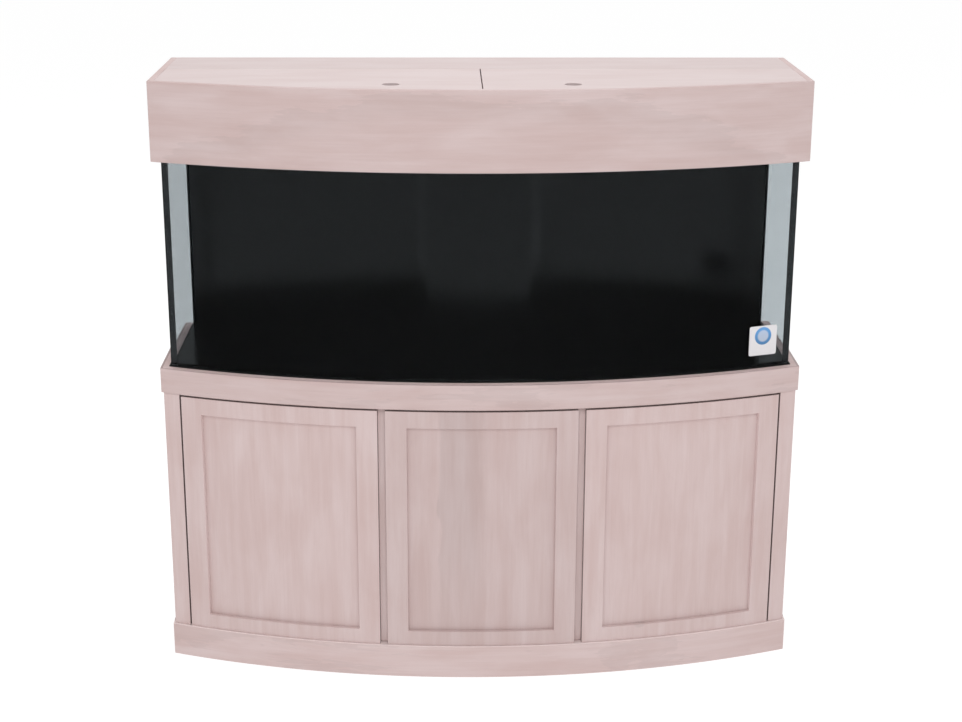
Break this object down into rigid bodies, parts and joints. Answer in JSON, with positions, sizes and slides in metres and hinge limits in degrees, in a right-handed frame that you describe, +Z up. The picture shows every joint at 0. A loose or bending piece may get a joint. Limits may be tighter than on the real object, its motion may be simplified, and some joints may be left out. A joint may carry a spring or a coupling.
{
  "type": "aquarium on stand",
  "caption": "Bow-front glass aquarium with a black back and a lift-off wooden canopy with flush lids, on a matching bow-front cabinet with inset panelled doors.",
  "frame": {"origin": "on the floor, in the middle of the footprint", "axes": "+Z up, -Y the bowed front with the doors, +X the viewer's right"},
  "size_m": [1.8888, 0.661, 1.7688],
  "materials": {
    "wood_top": "whitewashed pinkish wood, matt, grain along the length",
    "wood_hood": "whitewashed pinkish wood, matt, grain along the length",
    "wood_trim": "whitewashed pinkish wood, matt",
    "wood_door": "whitewashed pinkish wood, matt, fine upright grain",
    "wood_panel": "whitewashed pinkish wood, matt, fine upright grain",
    "wood_inner": "plain board inside the case",
    "glass_clear": "clear pane, faint blue-grey tint",
    "acrylic_black": "glossy black sheet",
    "seal_black": "black sealant bead",
    "mat_foam": "matt black levelling mat",
    "steel": "plain steel fittings",
    "pipe_plastic": "dark plastic pipe",
    "label_vinyl": "plain vinyl label"
  },
  "bodies": {
    "stand": {"base_front": "wood_trim", "base_left": "wood_trim", "base_right": "wood_trim", "floor_panel": "wood_inner", "side_panel_left": "wood_trim", "side_panel_right": "wood_trim", "face_stile_left": "wood_trim", "face_stile_right": "wood_trim", "face_top_rail": "wood_trim", "mullion_left": "wood_inner", "mullion_right": "wood_inner", "partition_left": "wood_inner", "partition_right": "wood_inner", "back_panel": "wood_inner", "top_deck": "wood_trim", "top_trim_front": "wood_trim", "top_trim_left": "wood_trim", "top_trim_right": "wood_trim", "door_left_catch": "steel", "door_centre_catch": "steel", "door_right_catch": "steel", "tank_mat": "mat_foam", "tank_floor": "acrylic_black", "tank_front_pane": "glass_clear", "tank_side_pane_left": "glass_clear", "tank_side_pane_right": "glass_clear", "tank_seam_left": "seal_black", "tank_seam_right": "seal_black", "tank_back_pane": "acrylic_black", "overflow_box": "acrylic_black", "drain_pipe": "pipe_plastic", "tank_centre_brace": "glass_clear", "tank_label": "label_vinyl"},
    "left_door": {"door_left_frame": "wood_door", "door_left_panel": "wood_panel", "door_left_pin_lower": "steel", "door_left_pin_upper": "steel"},
    "centre_door": {"door_centre_frame": "wood_door", "door_centre_panel": "wood_panel", "door_centre_pin_lower": "steel", "door_centre_pin_upper": "steel"},
    "right_door": {"door_right_frame": "wood_door", "door_right_panel": "wood_panel", "door_right_pin_lower": "steel", "door_right_pin_upper": "steel"},
    "canopy": {"hood_front": "wood_hood", "hood_side_left": "wood_hood", "hood_side_right": "wood_hood", "hood_back": "wood_hood", "hood_top_strip": "wood_top", "hood_hinge_leaf": "steel", "hood_front_rail": "wood_top", "hood_centre_bar": "wood_inner", "hood_cleat_front": "wood_inner", "hood_cleat_left": "wood_inner", "hood_cleat_right": "wood_inner"},
    "left_lid": {"lid_left": "wood_top", "lid_left_hinge_leaf": "steel"},
    "right_lid": {"lid_right": "wood_top", "lid_right_hinge_leaf": "steel"}
  },
  "joints": [
    {"name": "left_door_hinge", "type": "hinge", "parent": "stand", "child": "left_door", "pos_m": [-0.87369, -0.1656, 0.47], "axis": [0, 0, -1], "range_deg": [0, 110]},
    {"name": "centre_door_hinge", "type": "hinge", "parent": "stand", "child": "centre_door", "pos_m": [-0.27384, -0.29969, 0.47], "axis": [0, 0, -1], "range_deg": [0, 110]},
    {"name": "right_door_hinge", "type": "hinge", "parent": "stand", "child": "right_door", "pos_m": [0.87369, -0.1656, 0.47], "axis": [0, 0, 1], "range_deg": [0, 110]},
    {"name": "canopy_lift", "type": "slide", "parent": "stand", "child": "canopy", "axis": [0, 0, 1], "range_m": [0, 0.35]},
    {"name": "left_lid_hinge", "type": "hinge", "parent": "canopy", "child": "left_lid", "pos_m": [-0.46, 0.0915, 1.7688], "axis": [-1, 0, 0], "range_deg": [0, 100]},
    {"name": "right_lid_hinge", "type": "hinge", "parent": "canopy", "child": "right_lid", "pos_m": [0.46, 0.0915, 1.7688], "axis": [-1, 0, 0], "range_deg": [0, 100]}
  ]
}
